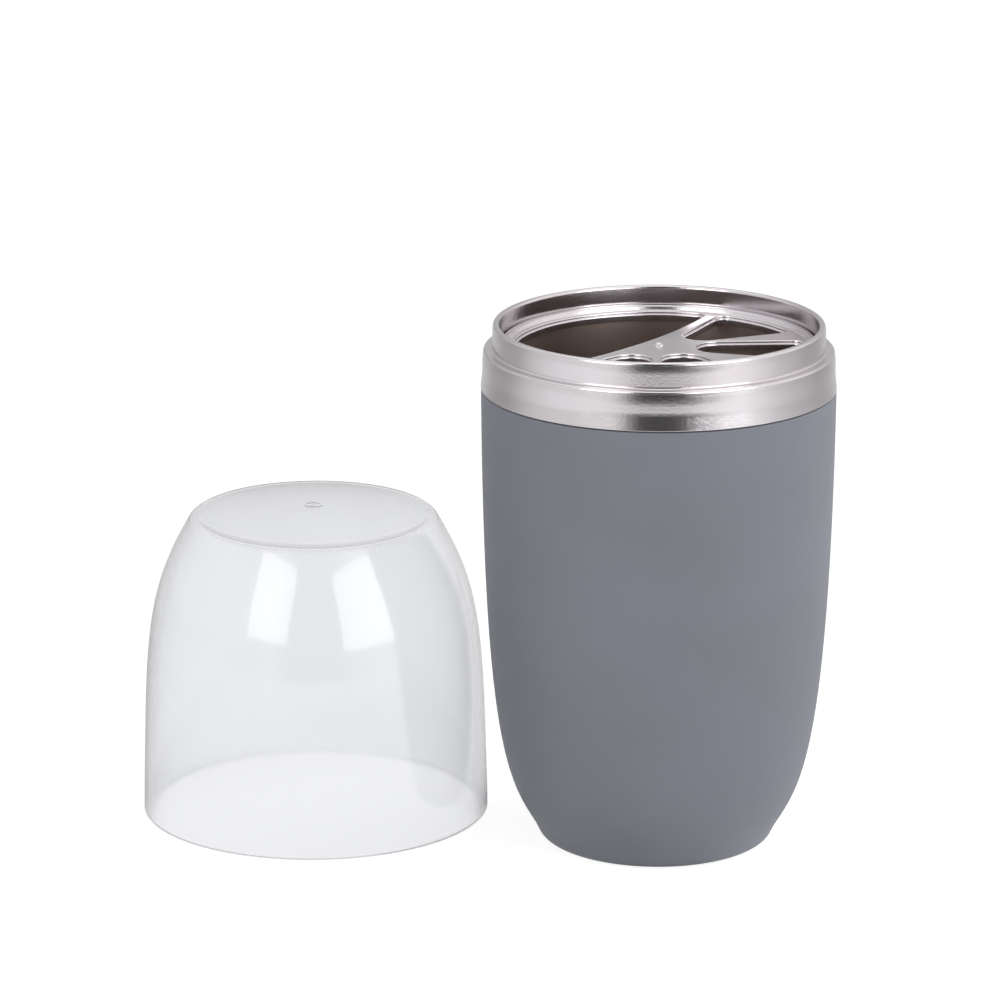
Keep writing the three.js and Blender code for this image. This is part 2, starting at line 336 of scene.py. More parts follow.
def make_inner_cup():
    """The thin liner, whose flange rests on the cup's spigot."""
    floor_top = LINER_FLOOR_UNDERSIDE + LINER_WALL
    flange_underside = LINER_FLANGE_TOP - LINER_WALL
    outside = cup_side.corners(
        LINER_FLOOR_UNDERSIDE, CUP_TOP, LINER_INSET, LINER_FLOOR_ROUND, 0, LINER_FLOOR_CLEAR
    )
    inside = cup_side.corners(
        floor_top, CUP_TOP, LINER_INSET + LINER_WALL, LINER_FLOOR_ROUND, 0, LINER_FLOOR_CLEAR
    )[::-1]
    return turn_piece("steel_liner", [
        (0, LINER_FLOOR_UNDERSIDE),
        *outside,
        (outside[-1][0], flange_underside),
        (SPIGOT_RADIUS, flange_underside),
        (SPIGOT_RADIUS, LINER_FLANGE_TOP),
        (inside[0][0], LINER_FLANGE_TOP, LINER_EDGE_ROUND),
        *inside,
        (0, floor_top),
    ])


# Collar

COLLAR_FOOT = 119.2
LIP_RADIUS = 45
LIP_ROUND = 0.2
BAND_RADIUS = 44.55
BAND_INNER_RADIUS = 43.3
FLARE_TOP = 124
FLARE_BEND = 122.5
CROWN_FOOT = 125.2
CROWN_INSET = 0.2
SHOULDER_TOP = 129.2
SHOULDER_ROUND = 0.7
NECK_ROOT_ROUND = 0.5
NECK_RADIUS = 42.05
NECK_INNER_RADIUS = 40.25
RIM_TAPER_FOOT = 132.7
RIM_TAPER = 0.12
RIM_ROUND = 0.82
EASING_STEPS = 8
BESIDE_EASING = 0.95


def easing(start, end, radius, shift):
    """Corners from one height to another, whose radius moves by shift, slowly at first."""
    shares = [i / EASING_STEPS for i in range(EASING_STEPS + 1)]
    return [(radius + shift * share ** 2, start + (end - start) * share) for share in shares]


def make_collar():
    """The band flares towards its lip, and leans in a little below the shoulder and the rim."""
    bend = FLARE_TOP - FLARE_BEND
    slope = (LIP_RADIUS - BAND_RADIUS) / (FLARE_BEND - COLLAR_FOOT + bend / 2)
    flare = easing(FLARE_TOP, FLARE_BEND, BAND_RADIUS, slope * bend / 2)[::-1]
    crown = easing(CROWN_FOOT, SHOULDER_TOP - SHOULDER_ROUND, BAND_RADIUS, -CROWN_INSET)
    taper = easing(RIM_TAPER_FOOT, HOLDER_HEIGHT - RIM_ROUND, NECK_RADIUS, -RIM_TAPER)
    return turn_piece("steel_collar", [
        (BAND_INNER_RADIUS, COLLAR_FOOT),
        (LIP_RADIUS, COLLAR_FOOT, LIP_ROUND),
        *flare,
        *crown,
        (BAND_RADIUS - CROWN_INSET, SHOULDER_TOP, SHOULDER_ROUND * BESIDE_EASING),
        (NECK_RADIUS, SHOULDER_TOP, NECK_ROOT_ROUND),
        *taper,
        (NECK_RADIUS - RIM_TAPER, HOLDER_HEIGHT, RIM_ROUND * BESIDE_EASING),
        (NECK_INNER_RADIUS, HOLDER_HEIGHT, RIM_ROUND * BESIDE_EASING),
        (NECK_INNER_RADIUS, SHOULDER_UNDERSIDE),
        (BAND_INNER_RADIUS, SHOULDER_UNDERSIDE),
    ], closed=True)


# Divider

DIVIDER_FACE = 129.8
DIVIDER_RADIUS = 39.95
DIVIDER_SKIRT_FOOT = 128
SHEET = 0.3
FLANGE_RISE = 1.2
FLANGE_ROUND = 0.6
FLANGE_INNER_RADIUS = 38.35
FLANGE_FOOT_RADIUS = 37.85
FLANGE_FOOT_ROUND = 0.32
FACE_EDGE_RADIUS = 37.55
FLAT_RIM = 0.12
OPENING_EDGE_RADIUS = 36.35
OPENING_CORNER_RADIUS = 2.3
LIP_ROLL = 0.36
LIP_WALL = 0.2
LEDGE_COVE = 0.12
LEDGE_ROLL = 0.37
LIP_FOOT = 127.4
ROLL_STEPS = 5
SHEET_EDGE_ROUND = 0.08
SHEET_EDGE_STEPS = 2
SHEET_EDGE_ANGLE = radians(60)
HUB_MARK_RADIUS = 1.4
HUB_MARK_RISE = 0.5
HUB_MARK_STEPS = 40
HUB_DIMPLE_RADIUS = 0.6
HUB_DIMPLE_DROP = 0.3

# The divider mirrors across this line; the wide opening lies on it
MIRROR_LINE = -36.8
WIDE_OPENING_EDGE = 5.7
WIDE_OPENING_SWEEP = 150
LARGE_SLOT = {"half": radians(20.4), "inner_radius": 4.85, "inner_distance": 15.9}
SMALL_SLOT = {"half": radians(8.5), "inner_radius": 5.6, "inner_distance": 15.3}
LARGE_SLOT_TURN = 80.2
SMALL_SLOT_TURN = 31.2
OUTLINE_STEP = 1.1
OUTLINE_LEAST_STEPS = 10


def wide_opening(grow):
    """The wide opening's outline as arcs: centre, radius, first and last angle."""
    reach = OPENING_EDGE_RADIUS - OPENING_CORNER_RADIUS
    sweep_reach = WIDE_OPENING_SWEEP - OPENING_CORNER_RADIUS
    sweep_centre = WIDE_OPENING_EDGE + WIDE_OPENING_SWEEP
    along = (reach ** 2 - sweep_reach ** 2 + sweep_centre ** 2) / (2 * sweep_centre)
    across = sqrt(reach ** 2 - along ** 2)
    edge = atan2(across, along)
    sweep = atan2(across, along - sweep_centre)
    small = OPENING_CORNER_RADIUS + grow
    return [
        ((0, 0), OPENING_EDGE_RADIUS + grow, -edge, edge),
        ((along, across), small, edge, sweep),
        ((sweep_centre, 0), WIDE_OPENING_SWEEP + grow, sweep, 2 * pi - sweep),
        ((along, -across), small, 2 * pi - sweep, 2 * pi - edge),
    ]


def slot_opening(grow, half, inner_radius, inner_distance):
    """A slot's outline as arcs; it widens from its round inner end to the divider's edge."""
    apex = inner_distance - inner_radius / sin(half)
    side = Vector((cos(half), sin(half)))
    offset = Vector((apex, 0)) + Vector((side.y, -side.x)) * OPENING_CORNER_RADIUS
    reach = OPENING_EDGE_RADIUS - OPENING_CORNER_RADIUS
    ahead = offset.dot(side)
    upper = offset + side * (sqrt(ahead ** 2 - offset.length_squared + reach ** 2) - ahead)
    edge = atan2(upper.y, upper.x)
    across = half + pi / 2
    small = OPENING_CORNER_RADIUS + grow
    return [
        ((0, 0), OPENING_EDGE_RADIUS + grow, -edge, edge),
        (tuple(upper), small, edge, across),
        ((inner_distance, 0), inner_radius + grow, across, 2 * pi - across),
        ((upper.x, -upper.y), small, -across, -edge),
    ]


def draw_outline(arcs, height, turn):
    """Draws a closed outline of arcs by spinning a point round each arc's centre in turn."""
    def at(centre, radius, angle):
        x, y = centre[0] + radius * cos(angle), centre[1] + radius * sin(angle)
        return Vector((x * cos(turn) - y * sin(turn), x * sin(turn) + y * cos(turn), height)) * MM

    centre, radius, first, last = arcs[0]
    here = at(centre, radius, first)
    add_point(here)
    for centre, radius, first, last in arcs:
        start = at(centre, radius, first)
        if (start - here).length > MERGE_DISTANCE:
            extrude_by(start - here)
        steps = max(OUTLINE_LEAST_STEPS, round(radius * (last - first) / OUTLINE_STEP))
        bpy.ops.mesh.spin(steps=steps, angle=first - last, center=at(centre, 0, 0), axis=(0, 0, 1))
        here = at(centre, radius, last)
    bpy.ops.mesh.select_linked()
    bpy.ops.mesh.remove_doubles(threshold=MERGE_DISTANCE)
    bpy.ops.mesh.edge_face_add()


def step_in(inward, down):
    """Insets the selected face by a width and sinks it by a height."""
    bpy.ops.mesh.inset(thickness=inward * MM, depth=0, use_even_offset=True)
    bpy.ops.transform.translate(value=(0, 0, -down * MM))


def roll_over(radius):
    """Takes the selected face in and down round an edge, from level to upright."""
    for i in range(ROLL_STEPS):
        here, after = pi / 2 * i / ROLL_STEPS, pi / 2 * (i + 1) / ROLL_STEPS
        step_in(radius * (sin(after) - sin(here)), radius * (cos(here) - cos(after)))


def cove_in(radius):
    """Takes the selected face down and in through a hollow, from upright to level."""
    for i in range(ROLL_STEPS):
        here, after = pi / 2 * i / ROLL_STEPS, pi / 2 * (i + 1) / ROLL_STEPS
        step_in(radius * (cos(here) - cos(after)), radius * (sin(after) - sin(here)))


def sink(depth):
    """Extrudes the selected face straight down."""
    bpy.ops.mesh.extrude_region_move(TRANSFORM_OT_translate={"value": (0, 0, -depth * MM)})


def press_opening(outline, turn):
    """An opening in the sheet: a flat rim, a rolled edge and, under it, a ledge and its wall."""
    draw_outline(outline(FLAT_RIM + LIP_ROLL + LEDGE_COVE + LEDGE_ROLL), DIVIDER_FACE, radians(turn))
    step_in(FLAT_RIM, 0)
    roll_over(LIP_ROLL)
    sink(LIP_WALL)
    cove_in(LEDGE_COVE)
    roll_over(LEDGE_ROLL)
    sink(DIVIDER_FACE - LIP_ROLL - LIP_WALL - LEDGE_COVE - LEDGE_ROLL - LIP_FOOT)
    bpy.ops.mesh.delete(type="FACE")


def swell(width, rise):
    """Takes the selected face in by a width along a soft S, up by a rise or down by a fall."""
    for i in range(ROLL_STEPS):
        here, after = pi * i / ROLL_STEPS, pi * (i + 1) / ROLL_STEPS
        step_in(width / ROLL_STEPS, -rise * (cos(here) - cos(after)) / 2)


def press_hub_mark():
    """A low round mark with a dimple, pressed up in the middle of the hub."""
    bpy.ops.mesh.select_all(action="DESELECT")
    bpy.ops.mesh.primitive_circle_add(
        vertices=HUB_MARK_STEPS,
        radius=(HUB_MARK_RADIUS + FLAT_RIM) * MM,
        fill_type="NGON",
        location=(0, 0, DIVIDER_FACE * MM),
    )
    step_in(FLAT_RIM, 0)
    swell((HUB_MARK_RADIUS - HUB_DIMPLE_RADIUS) / 2, HUB_MARK_RISE)
    swell((HUB_MARK_RADIUS - HUB_DIMPLE_RADIUS) / 2, -HUB_DIMPLE_DROP)


def fill_face(piece):
    """Fills the divider's face between the flange and the openings' flat rims."""
    bpy.ops.mesh.select_mode(type="EDGE")
    bpy.ops.mesh.select_all(action="DESELECT")
    bpy.ops.mesh.select_non_manifold(
        use_wire=False, use_multi_face=False, use_non_contiguous=False, use_verts=False
    )
    bpy.ops.object.mode_set(mode="OBJECT")
    points = piece.data.vertices
    for line in piece.data.edges:
        level = all(abs(points[i].co.z - DIVIDER_FACE * MM) < MERGE_DISTANCE for i in line.vertices)
        line.select = line.select and level
    bpy.ops.object.mode_set(mode="EDIT")
    bpy.ops.mesh.fill(use_beauty=True)
    bpy.ops.mesh.select_mode(type="VERT")


def modify(piece, kind, **settings):
    """Gives a piece a modifier and applies it."""
    modifier = piece.modifiers.new(kind.lower(), kind)
    for key, value in settings.items():
        setattr(modifier, key, value)
    piece.select_set(True)
    bpy.context.view_layer.objects.active = piece
    bpy.ops.object.modifier_apply(modifier=modifier.name)


def make_divider():
    """The sheet's upper face, pressed and filled, which then gets its thickness and round edges."""
    piece = new_piece("divider_plate")
    flange_top = DIVIDER_FACE + FLANGE_RISE
    draw_section(piece, [
        (FACE_EDGE_RADIUS, DIVIDER_FACE),
        (FLANGE_FOOT_RADIUS, DIVIDER_FACE, FLANGE_FOOT_ROUND),
        (FLANGE_INNER_RADIUS, flange_top, FLANGE_ROUND),
        (DIVIDER_RADIUS, flange_top, FLANGE_ROUND),
        (DIVIDER_RADIUS, DIVIDER_SKIRT_FOOT),
    ], HOLDER_AXIS, closed=False)
    spin_round(HOLDER_AXIS)
    press_opening(wide_opening, MIRROR_LINE + 180)
    for side in (1, -1):
        for slot, turn in ((LARGE_SLOT, LARGE_SLOT_TURN), (SMALL_SLOT, SMALL_SLOT_TURN)):
            press_opening(lambda grow: slot_opening(grow, **slot), MIRROR_LINE + side * turn)
    press_hub_mark()
    fill_face(piece)
    bpy.ops.mesh.select_all(action="SELECT")
    bpy.ops.mesh.remove_doubles(threshold=MERGE_DISTANCE)
    bpy.ops.mesh.normals_make_consistent(inside=False)
    deselect()
    if max(piece.data.polygons, key=lambda face: face.area).normal.z < 0:
        piece.data.flip_normals()
    modify(
        piece,
        "SOLIDIFY",
        thickness=SHEET * MM,
        offset=-1,
        use_even_offset=True,
        use_quality_normals=True,
    )
    modify(
        piece,
        "BEVEL",
        width=SHEET_EDGE_ROUND * MM,
        segments=SHEET_EDGE_STEPS,
        limit_method="ANGLE",
        angle_limit=SHEET_EDGE_ANGLE,
    )
    edit(piece)
    close_up(piece)
    return piece


# Lid

LID_HEIGHT = 81.5
LID_CROWN = 2
LID_MOUTH_RADIUS = 45.04
LID_TOP_RADIUS = 31.5
LID_WALL = 2
LID_TOP_ROUND = 3.7
LID_TOP_CLEAR = 3.4
LID_INNER_TOP_ROUND = 1.8
LID_INNER_TOP_CLEAR = 2
LID_MOUTH_ROUND = 0.35
LID_MOUTH_CLEAR = 0.7
LID_MARK_RADIUS = 2.4
LID_MARK_WIDTH = 0.7
LID_MARK_RISE = 0.14
LID_MARK_ROUND = 0.06
LID_PIP_RADIUS = 0.5
LID_PIP_RISE = 0.06
CROWN_STEPS = 20

lid_side = Side(
    (LID_MOUTH_RADIUS, 0),
    (LID_TOP_RADIUS, LID_HEIGHT - LID_CROWN),
    low_out=0.082,
    low_up=0.626,
    high_in=0.904,
    high_down=0.262,
)


def crown_corners(rim_radius, clear, top):
    """The lid's top as corners, which rise from beside its rounded rim to the mark's edge."""
    start = rim_radius - clear
    radii = [start + (LID_MARK_RADIUS - start) * i / CROWN_STEPS for i in range(CROWN_STEPS + 1)]
    return [(radius, top - LID_CROWN * (radius / rim_radius) ** 2) for radius in radii]


def make_lid():
    """The domed cap, with a small raised ring and a dot in the middle of its crown."""
    inner_top = LID_HEIGHT - LID_WALL
    rim_height = LID_HEIGHT - LID_CROWN
    mark_top = LID_HEIGHT + LID_MARK_RISE
    mark_inner = LID_MARK_RADIUS - LID_MARK_WIDTH
    pip_top = LID_HEIGHT + LID_PIP_RISE
    outside = lid_side.corners(
        0, rim_height, 0, LID_MOUTH_ROUND, LID_TOP_ROUND, LID_MOUTH_CLEAR, LID_TOP_CLEAR
    )
    inside = lid_side.corners(
        0,
        rim_height - LID_WALL,
        LID_WALL,
        LID_MOUTH_ROUND,
        LID_INNER_TOP_ROUND,
        LID_MOUTH_CLEAR,
        LID_INNER_TOP_CLEAR,
    )[::-1]
    return turn_piece("clear_lid", [
        (0, inner_top),
        *crown_corners(inside[0][0], LID_INNER_TOP_CLEAR, inner_top)[::-1],
        *inside,
        *outside,
        *crown_corners(LID_TOP_RADIUS, LID_TOP_CLEAR, LID_HEIGHT),
        (LID_MARK_RADIUS, mark_top, LID_MARK_ROUND),
        (mark_inner, mark_top, LID_MARK_ROUND),
        (mark_inner, LID_HEIGHT, LID_MARK_ROUND),
        (LID_PIP_RADIUS, LID_HEIGHT),
        (LID_PIP_RADIUS / 2, pip_top),
        (0, pip_top),
    ], LID_AXIS)


# Materials

class Signal:
    """A number or a colour on its way through a finish's nodes."""

    def __init__(self, finish, socket):
        self.finish, self.socket = finish, socket

    def maths(self, operation, *values):
        return self.finish.node("ShaderNodeMath", {"operation": operation}, list(values))

    def __add__(self, other):
        return self.maths("ADD", self, other)

    def __sub__(self, other):
        return self.maths("SUBTRACT", self, other)

    def __mul__(self, other):
        return self.maths("MULTIPLY", self, other)

    def __rsub__(self, other):
        return self.maths("SUBTRACT", other, self)

    def __pow__(self, other):
        return self.maths("POWER", self, other)

    __radd__ = __add__
    __rmul__ = __mul__

    def smooth(self, low, high):
        """0 below low, 1 above high and a soft step between."""
        return self.finish.node(
            "ShaderNodeMapRange",
            {"interpolation_type": "SMOOTHSTEP"},
            {"Value": self, "From Min": low, "From Max": high},
        )

    def between(self, first, last):
        """The same soft step, for a bearing, between two angles in degrees."""
        return self.smooth(radians(first), radians(last))


class Finish:
    """The nodes of one material, or of the world."""

    def __init__(self, owner):
        owner.use_nodes = True
        self.tree = owner.node_tree
        self.tree.nodes.clear()

    def node(self, kind, settings=None, inputs=None, output=0):
        """Adds a node, sets it, feeds its sockets with values or signals, and gives an output."""
        made = self.tree.nodes.new(kind)
        for key, value in (settings or {}).items():
            setattr(made, key, value)
        pairs = enumerate(inputs) if isinstance(inputs, list) else (inputs or {}).items()
        for key, value in pairs:
            if isinstance(value, Signal):
                self.tree.links.new(value.socket, made.inputs[key])
            else:
                made.inputs[key].default_value = value
        return Signal(self, made.outputs[output]) if made.outputs else None

    def coordinates(self, centre=(0, 0, 0)):
        """The piece's own coordinates, about a centre."""
        place = self.node("ShaderNodeTexCoord", output="Object")
        return self.node("ShaderNodeVectorMath", {"operation": "SUBTRACT"}, [place, centre])

    def parts(self, kind="Object"):
        """Coordinates as three signals: across, ahead and up."""
        place = self.node("ShaderNodeTexCoord", output=kind)
        split = self.node("ShaderNodeSeparateXYZ", {}, [place])
        return [Signal(self, socket) for socket in split.socket.node.outputs]

    def bearing(self, across, ahead):
        """The turn from straight in front of the object, towards its right."""
        return self.node("ShaderNodeMath", {"operation": "ARCTAN2"}, [across, 0 - ahead])

    def noise(self, where, scale, detail=2, roughness=0.5):
        """Soft noise from 0 to 1."""
        return self.node(
            "ShaderNodeTexNoise",
            {},
            {"Vector": where, "Scale": scale, "Detail": detail, "Roughness": roughness},
        )

    def blend(self, factor, first, second):
        """One colour at 0, the other at 1."""
        return self.node(
            "ShaderNodeMix", {"data_type": "RGBA"}, {"Factor": factor, 6: first, 7: second}, output=2
        )

    def bump(self, height, distance, strength=1):
        """Surface relief from a height."""
        return self.node(
            "ShaderNodeBump", {}, {"Height": height, "Distance": distance, "Strength": strength}
        )

    def output(self, surface, volume=None):
        """Ends the tree: a surface and, for a clear piece, what its depth does to light."""
        inputs = {"Surface": surface}
        if volume:
            inputs["Volume"] = volume
        world = isinstance(self.tree.id_data, bpy.types.World)
        self.node("ShaderNodeOutputWorld" if world else "ShaderNodeOutputMaterial", {}, inputs)


def new_finish(name):
    """A material and its nodes."""
    material = bpy.data.materials.new(name)
    return material, Finish(material)


def principled(finish, **sockets):
    """The surface shader, with its sockets by name."""
    inputs = {key.replace("_", " "): value for key, value in sockets.items()}
    return finish.node("ShaderNodeBsdfPrincipled", {}, inputs)


def shader_mix(finish, factor, first, second):
    """One shader at 0, the other at 1."""
    return finish.node("ShaderNodeMixShader", {}, {0: factor, 1: first, 2: second})


def colour(red, green, blue):
    """A colour written as it looks on a screen, from 0 to 255, as light."""
    def light(value):
        value /= 255
        return value / 12.92 if value <= 0.04045 else ((value + 0.055) / 1.055) ** 2.4
    return (light(red), light(green), light(blue), 1)


SHELL_TONES = (colour(123, 126, 134), colour(127, 130, 139))
SHELL_CLOUDS = (0.35, 0.65)
SHELL_GRAIN_TONE = colour(118, 121, 129)
SHELL_GRAIN = (0.2, 0.8)
SHELL_GRAIN_SHARE = 0.35
SHELL_ROUGHNESS = 0.44
SHELL_UNEVENNESS = 0.06


def grey_shell():
    """Matt moulded plastic, with a fine even grain and faint clouding."""
    material, f = new_finish("grey_shell")
    where = f.coordinates()
    grain = f.noise(where, scale=2600, roughness=0.6)
    clouds = f.noise(where, scale=28, detail=3)
    base = f.blend(clouds.smooth(*SHELL_CLOUDS), *SHELL_TONES)
    base = f.blend(grain.smooth(*SHELL_GRAIN) * SHELL_GRAIN_SHARE, base, SHELL_GRAIN_TONE)
    f.output(principled(
        f,
        Base_Color=base,
        Roughness=SHELL_ROUGHNESS + clouds * SHELL_UNEVENNESS + grain * SHELL_UNEVENNESS,
        Specular_IOR_Level=0.4,
        Normal=f.bump(grain, distance=0.00002, strength=0.5),
    ))
    return material


RUBBER_TONE = colour(50, 52, 55)
RUBBER_DUST_TONE = colour(66, 67, 69)
RUBBER_DUST = (0.4, 0.75)
RUBBER_ROUGHNESS = 0.78
RUBBER_UNEVENNESS = 0.16


def foot_rubber():
    """Dark rubber with a dull, slightly dusty face."""
    material, f = new_finish("foot_rubber")
    where = f.coordinates()
    dust = f.noise(where, scale=160, detail=4, roughness=0.6)
    grain = f.noise(where, scale=3200)
    f.output(principled(
        f,
        Base_Color=f.blend(dust.smooth(*RUBBER_DUST), RUBBER_TONE, RUBBER_DUST_TONE),
        Roughness=RUBBER_ROUGHNESS + dust * RUBBER_UNEVENNESS,
        Normal=f.bump(grain, distance=0.00003, strength=0.6),
    ))
    return material


STEEL_TONES = (colour(208, 202, 204), colour(222, 218, 222))
LINER_TONES = (colour(184, 168, 160), colour(214, 200, 193))
STEEL_CLOUDS = (0.3, 0.7)
STEEL_CLOUDS_SHARE = 0.5
STEEL_LINES_SHARE = 0.3
STEEL_UNEVENNESS = 0.05
LINE_STRETCH = 0.03


def turned_lines(f, scale):
    """Noise drawn out round the axis into fine turning lines."""
    across, ahead, up = f.parts()
    radius = (across * across + ahead * ahead) ** 0.5
    drawn_out = [across * LINE_STRETCH, ahead * LINE_STRETCH, radius + up]
    where = f.node("ShaderNodeCombineXYZ", {}, drawn_out)
    return f.noise(where, scale, detail=3, roughness=0.65)


def steel(name, tones, roughness, lines_share, grain_share, line_scale):
    """Satin stainless steel: turning lines, a fine grain and a faint unevenness."""
    material, f = new_finish(name)
    where = f.coordinates()
    lines = turned_lines(f, line_scale)
    grain = f.noise(where, scale=1500, detail=3, roughness=0.7)
    clouds = f.noise(where, scale=55, detail=3)
    relief = lines * lines_share + grain * grain_share
    mottle = clouds.smooth(*STEEL_CLOUDS) * STEEL_CLOUDS_SHARE + lines * STEEL_LINES_SHARE
    f.output(principled(
        f,
        Base_Color=f.blend(mottle, *tones),
        Metallic=1.0,
        Roughness=roughness + clouds * STEEL_UNEVENNESS + grain * STEEL_UNEVENNESS,
        Normal=f.bump(relief, distance=0.00004, strength=0.7),
    ))
    return material


def liner_steel():
    return steel(
        "liner_steel", LINER_TONES, roughness=0.3, lines_share=0.9, grain_share=0.3, line_scale=900
    )


def collar_steel():
    return steel(
        "collar_steel", STEEL_TONES, roughness=0.13, lines_share=0.2, grain_share=0.8, line_scale=2400
    )


def divider_steel():
    return steel(
        "divider_steel", STEEL_TONES, roughness=0.17, lines_share=0.0, grain_share=0.8, line_scale=2400
    )


# What clear plastic does to light that passes it
CLEAR_TINT = (0.93, 0.935, 0.95, 1)
CLEAR_SHADOW = (0.45, 0.45, 0.46, 1)
CLEAR_ENDS = (0.8, 0.8, 0.81, 1)
CLEAR_DEPTH = (0.5, 0.5, 0.54, 1)
CLEAR_DENSITY = 25
CLEAR_BOUNCES = 2.5
CLEAR_ROUGHNESS = 0.08
CLEAR_UNEVENNESS = 0.03


def clear_plastic():
    """Clear moulded plastic with a faint grey cast; it lets lamp light through to what is behind."""
    material, f = new_finish("clear_plastic")
    where = f.coordinates(centre=(LID_AXIS[0] * MM, LID_AXIS[1] * MM, 0))
    flow = f.noise(where, scale=30)
    body = principled(
        f,
        Base_Color=CLEAR_TINT,
        Roughness=CLEAR_ROUGHNESS + flow * CLEAR_UNEVENNESS,
        IOR=1.55,
        Transmission_Weight=1.0,
        Normal=f.bump(flow, distance=0.0001, strength=0.15),
    )
    depth = f.node("ShaderNodeVolumeAbsorption", {}, {"Color": CLEAR_DEPTH, "Density": CLEAR_DENSITY})
    ends = f.node("ShaderNodeBsdfTransparent", {}, {"Color": CLEAR_ENDS})
    bounced = f.node("ShaderNodeLightPath", output="Glossy Depth")
    body = shader_mix(f, bounced.maths("GREATER_THAN", bounced, CLEAR_BOUNCES), body, ends)
    shade = f.node("ShaderNodeBsdfTransparent", {}, {"Color": CLEAR_SHADOW})
    shadow = f.node("ShaderNodeLightPath", output="Is Shadow Ray")
    f.output(shader_mix(f, shadow, body, shade), depth)
    return material


# Pieces on their bodies

def hand_over(piece, body, node, material):
    """Gives a piece its finish, its body and the node that it stands for."""
    piece.data.materials.clear()
    piece.data.materials.append(material)
    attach(piece, body)
    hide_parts(node)


hand_over(make_base_pad(), "holder", "base_pad", foot_rubber())
hand_over(make_outer_cup(), "holder", "outer_cup", grey_shell())
hand_over(make_inner_cup(), "holder", "inner_cup", liner_steel())
hand_over(make_collar(), "holder", "collar", collar_steel())
hand_over(make_divider(), "divider", "divider", divider_steel())
hand_over(make_lid(), "lid", "lid", clear_plastic())


# Floor, lights, camera, all in metres

FLOOR_SIZE = 6
FLOOR_FRONT = -0.62
FLOOR_TONE = (0.84, 0.84, 0.84, 1)
WHITE = (1, 1, 1, 1)

# A ray that has met fewer matt surfaces than this has met none
NO_BOUNCE = 0.5

# How bright the floor's glow is, and how much of it each kind of ray sees; glossy faces see more of it
# at the sides, as painted light, and less behind, as painted shade
FLOOR_GLOW = 1.47
FLOOR_GLOW_SHARE = 0.6
FLOOR_GLOW_THROUGH = 0.56
FLOOR_MIRRORED_SHARE = 0.17
FLOOR_PAINTED_LIGHT_RIGHT = 0.39
FLOOR_PAINTED_LIGHT_LEFT = 0.23

# Bearings in degrees between which the floor's painted light at the sides and painted shade behind
# change, as glossy faces mirror it
FLOOR_SIDE_STARTS = (14, 38)
FLOOR_RIGHT_ENDS = (46, 94)
FLOOR_LEFT_ENDS = (70, 112)
FLOOR_PAINTED_SHADE_STARTS = (90, 120)
FLOOR_PAINTED_SHADE_ENDS = (125, 160)

# The world's light on matt faces, and the shares of a direction at which it begins and is whole
SOFT_LIGHT = 0.08
SOFT_LIGHT_RIGHT = 4.4
SOFT_RIGHT_ACROSS = (0.3, 0.9)
SOFT_RIGHT_AHEAD = (-0.2, 0.3)
SOFT_LIGHT_LEFT = 1
SOFT_LEFT_ACROSS = (0.5, 1)

# The room that glossy faces mirror, which has a dark gap in front
MIRRORED_LIGHT = 0.95
MIRRORED_LIGHT_SIDE = 0.15
MIRRORED_LIGHT_TOP = 0.45
ROOM_TOP_UP = (0.7, 0.95)
MIRRORED_LIGHT_BACK = 0.4
ROOM_BACK_AHEAD = (0.2, 0.9)
ROOM_BACK_UP = (0.5, 0.8)
MIRRORED_GAP = 0.04
GAP_STARTS = (-33, -13)
GAP_ENDS = (12, 52)
GAP_TOP = (0.78, 0.92)

PANEL_DISTANCE = 0.95
PANEL_TARGET = Vector((-0.04, 0, 0.06))
PANELS = (
    {
        "name": "left_panel",
        "bearing": -34.5,
        "elevation": 24,
        "width": 0.49,
        "height": 0.55,
        "glow": 3.1,
    },
    {
        "name": "right_panel",
        "bearing": 40,
        "elevation": 22.5,
        "width": 0.7,
        "height": 0.6,
        "glow": 2.9,
    },
)


def seen(f, kind):
    """1 for a ray of that kind which has met no matt surface on its way from the camera."""
    ray = f.node("ShaderNodeLightPath", output=kind)
    spread = f.node("ShaderNodeLightPath", output="Diffuse Depth")
    return ray * spread.maths("LESS_THAN", spread, NO_BOUNCE)


def make_floor():
    """A white table whose front edge lies some way before the object. To glossy faces its glow is
    painted light to the right and left and painted shade behind.
    """
    deselect()
    bpy.ops.mesh.primitive_plane_add(size=FLOOR_SIZE, location=(0, FLOOR_FRONT + FLOOR_SIZE / 2, 0))
    bpy.ops.object.transform_apply(location=True, rotation=False, scale=False)
    floor = bpy.context.object
    floor.name = "floor"
    material, f = new_finish("floor")
    lit = f.node("ShaderNodeBsdfDiffuse", {}, {"Color": FLOOR_TONE})
    glow = f.node("ShaderNodeEmission", {}, {"Color": WHITE, "Strength": FLOOR_GLOW})
    across, ahead, _ = f.parts()
    bearing = f.bearing(across, ahead)
    away = bearing.maths("ABSOLUTE", bearing)
    # Painted light and shade for glossy rays: more glow to the right and left, less behind
    right = bearing.between(*FLOOR_SIDE_STARTS) * (1 - bearing.between(*FLOOR_RIGHT_ENDS))
    left = (0 - bearing).between(*FLOOR_SIDE_STARTS) * (1 - away.between(*FLOOR_LEFT_ENDS))
    painted_back_shade = away.between(*FLOOR_PAINTED_SHADE_STARTS) - away.between(*FLOOR_PAINTED_SHADE_ENDS)
    mirrored = (1 - painted_back_shade) * FLOOR_MIRRORED_SHARE
    mirrored = mirrored + right * FLOOR_PAINTED_LIGHT_RIGHT + left * FLOOR_PAINTED_LIGHT_LEFT
    mirrored = seen(f, "Is Glossy Ray") * mirrored
    through = seen(f, "Is Transmission Ray") * (FLOOR_GLOW_THROUGH - mirrored)
    share = mirrored + through + seen(f, "Is Camera Ray") * FLOOR_GLOW_SHARE
    f.output(shader_mix(f, share, lit, glow))
    floor.data.materials.append(material)


